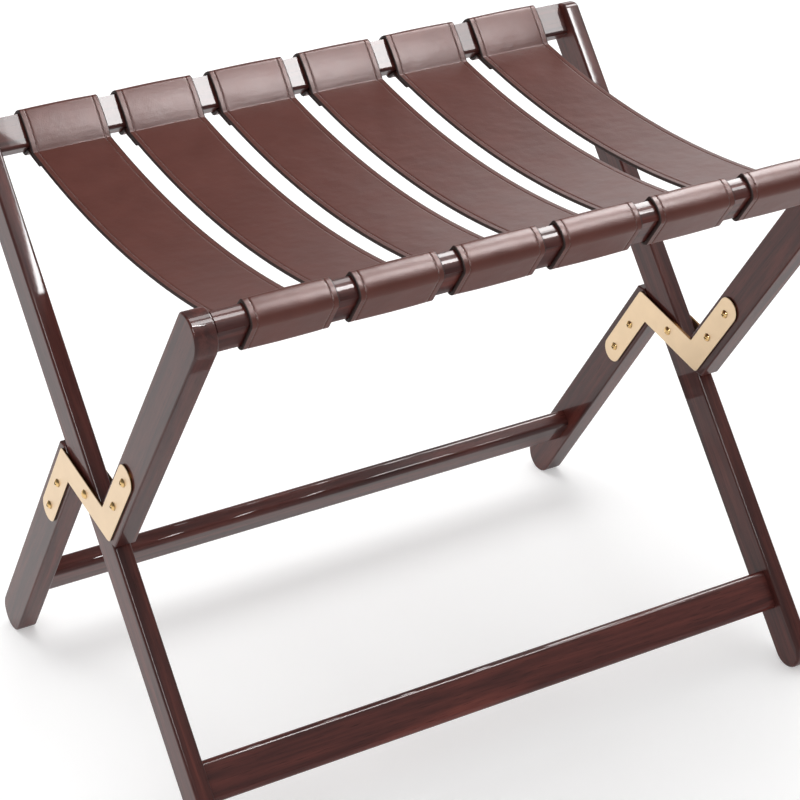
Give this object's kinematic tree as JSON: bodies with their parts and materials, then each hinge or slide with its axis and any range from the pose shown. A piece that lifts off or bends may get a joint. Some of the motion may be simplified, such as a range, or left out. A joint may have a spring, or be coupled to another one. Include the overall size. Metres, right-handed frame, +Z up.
{
  "type": "folding luggage bench",
  "caption": "Folding X-frame luggage bench: dark lacquered wooden legs, leather straps over the top rails, brass Z plates at the crossings, and a stretcher between each pair of feet.",
  "frame": {"origin": "on the floor, under the middle of the open bench's box", "axes": "+X along the rails, -Y to the front, where the split legs carry the front rail, +Z up"},
  "size_m": [0.6356, 0.475, 0.5317],
  "materials": {
    "lacquered_wood": "gloss lacquer",
    "leather": "smooth satin",
    "brass": "satin",
    "washer_brass": "plain",
    "dowel_wood": "bare beech"
  },
  "bodies": {
    "frame_p": {"back_rail": "lacquered_wood", "back_rail_dowels": "dowel_wood", "front_stretcher": "lacquered_wood", "front_stretcher_dowels": "dowel_wood", "long_leg_left": "lacquered_wood", "long_leg_right": "lacquered_wood", "strap_1": "leather", "strap_2": "leather", "strap_3": "leather", "strap_4": "leather", "strap_5": "leather", "strap_6": "leather"},
    "frame_q": {"back_stretcher": "lacquered_wood", "back_stretcher_dowels": "dowel_wood", "front_rail": "lacquered_wood", "front_rail_dowels": "dowel_wood", "lower_leg_left": "lacquered_wood", "lower_leg_right": "lacquered_wood", "pivot_pin_left": "brass", "pivot_pin_right": "brass", "pivot_washers_left": "washer_brass", "pivot_washers_right": "washer_brass", "plate_screws_left_inner": "brass", "plate_screws_left_outer": "brass", "plate_screws_right_inner": "brass", "plate_screws_right_outer": "brass", "upper_leg_left": "lacquered_wood", "upper_leg_right": "lacquered_wood", "z_plate_left_inner": "brass", "z_plate_left_outer": "brass", "z_plate_right_inner": "brass", "z_plate_right_outer": "brass"}
  },
  "joints": [
    {"name": "fold", "type": "hinge", "parent": "frame_p", "child": "frame_q", "pos_m": [0, 0.00001, 0.264], "axis": [-1, 0, 0], "range_deg": [0, 74], "deforming": ["strap_1", "strap_2", "strap_3", "strap_4", "strap_5", "strap_6"]}
  ]
}
